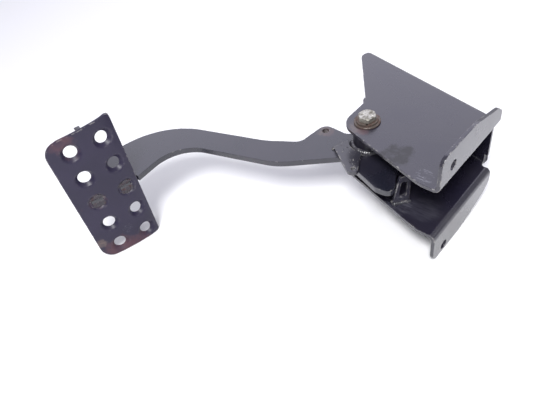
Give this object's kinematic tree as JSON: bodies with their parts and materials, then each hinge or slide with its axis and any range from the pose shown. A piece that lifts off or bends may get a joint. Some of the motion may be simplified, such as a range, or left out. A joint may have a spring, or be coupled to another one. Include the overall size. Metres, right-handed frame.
{
  "type": "brake pedal assembly",
  "caption": "Swinging foot pedal with a perforated curved pad on an S-shaped flat arm, pivoting in a folded steel mounting bracket.",
  "frame": {"origin": "midway between the two flange bolt holes, on the plane of the mounting flanges' outer faces", "axes": "+X is the outward normal of the mounting flanges, +Z runs along the pedal's pivot axis towards the bolt's head, and +Y runs along the flanges towards the web"},
  "size_m": [0.3116, 0.3166, 0.1505],
  "materials": {
    "black_bracket_paint": "satin black paint over folded steel sheet",
    "black_pedal_paint": "satin black paint over steel plate",
    "worn_pad_paint": "satin black paint with rubbed and rusty patches",
    "painted_weld": "black paint over weld beads and spatter",
    "rusty_weld": "weld bead with rust through the paint",
    "zinc_plate": "dulled bright zinc plating",
    "rusty_steel": "plain steel with surface rust",
    "bare_steel": "turned steel",
    "bush_nylon": "moulded black nylon"
  },
  "bodies": {
    "bracket": {"bracket_channel": "black_bracket_paint", "stop_tab": "black_bracket_paint", "stop_tab_weld_near": "painted_weld", "stop_tab_weld_far": "painted_weld", "pivot_bolt": "zinc_plate", "split_lock_washer": "rusty_steel", "upper_flat_washer": "rusty_steel", "lower_flat_washer": "rusty_steel", "lock_nut": "zinc_plate", "spacer_sleeve": "bare_steel"},
    "pedal": {"pedal_arm": "black_pedal_paint", "pivot_tube": "black_pedal_paint", "upper_bush": "bush_nylon", "lower_bush": "bush_nylon", "upper_hub_weld": "painted_weld", "lower_hub_weld": "painted_weld", "spring_lever": "painted_weld", "spring_lever_weld": "painted_weld", "foot_pad": "worn_pad_paint", "upper_pad_rib": "black_pedal_paint", "lower_pad_rib": "black_pedal_paint", "upper_pad_weld": "rusty_weld", "lower_pad_weld": "rusty_weld"}
  },
  "joints": [
    {"name": "pedal_pivot", "type": "hinge", "parent": "bracket", "child": "pedal", "pos_m": [-0.0965, 0.0265, 0.00465], "axis": [0, 0, 1], "range_deg": [-26, 0]}
  ]
}
